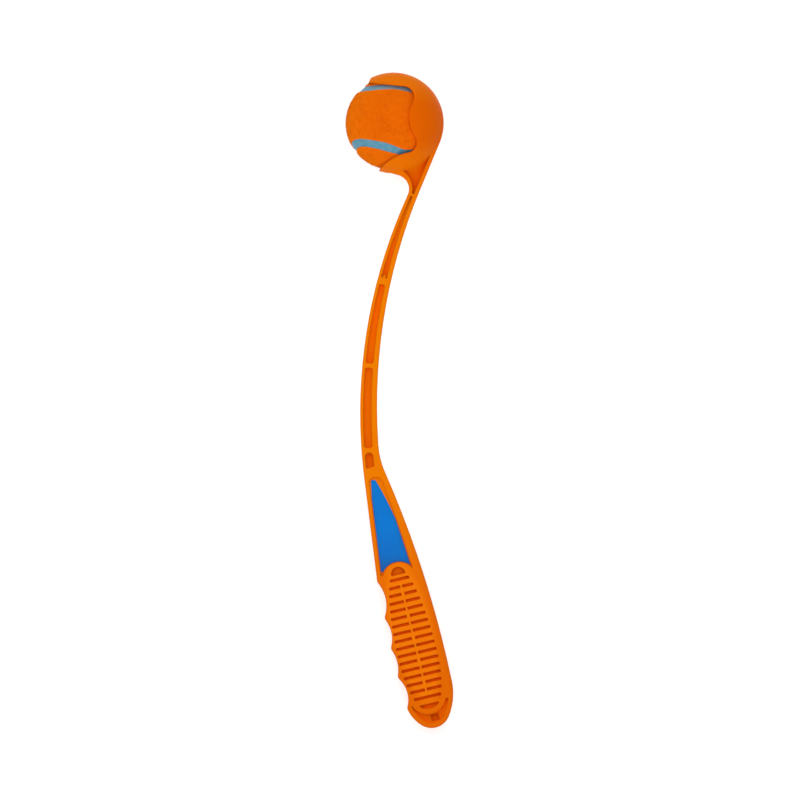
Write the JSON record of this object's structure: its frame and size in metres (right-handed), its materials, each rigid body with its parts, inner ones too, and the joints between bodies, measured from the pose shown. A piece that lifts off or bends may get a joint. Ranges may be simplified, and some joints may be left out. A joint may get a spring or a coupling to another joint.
{
  "type": "dog ball launcher stick",
  "caption": "One-piece moulded throwing stick with a two-clawed open cup that holds a felt dog ball, a bowed channelled shaft, and a finger-grooved grip with a recessed label.",
  "frame": {"origin": "centre of the cup's outer sphere, on the launcher's middle plane", "axes": "+Y runs from the handle to the cup, +X points out of the cup's back away from its mouth, +Z points out of the side that carries the label"},
  "size_m": [0.075, 0.457, 0.066],
  "materials": {
    "orange_plastic": "satin, even orange right through the moulding",
    "blue_label": "glossy blue film",
    "core_rubber": "dull black rubber",
    "orange_felt": "short brushed felt",
    "seam_rubber": "matt blue-grey rubber cement"
  },
  "bodies": {
    "launcher": {"launcher": "orange_plastic", "handle_label": "blue_label"},
    "ball": {"ball_core_half_a": "core_rubber", "ball_core_half_b": "core_rubber", "felt_panel_a": "orange_felt", "felt_panel_b": "orange_felt", "seam_band": "seam_rubber"}
  },
  "joints": [
    {"name": "ball_release", "type": "slide", "parent": "launcher", "child": "ball", "axis": [-0.9896, -0.1438, 0], "range_m": [0, 0.065], "deforming": ["felt_panel_a", "felt_panel_b", "seam_band"]}
  ]
}
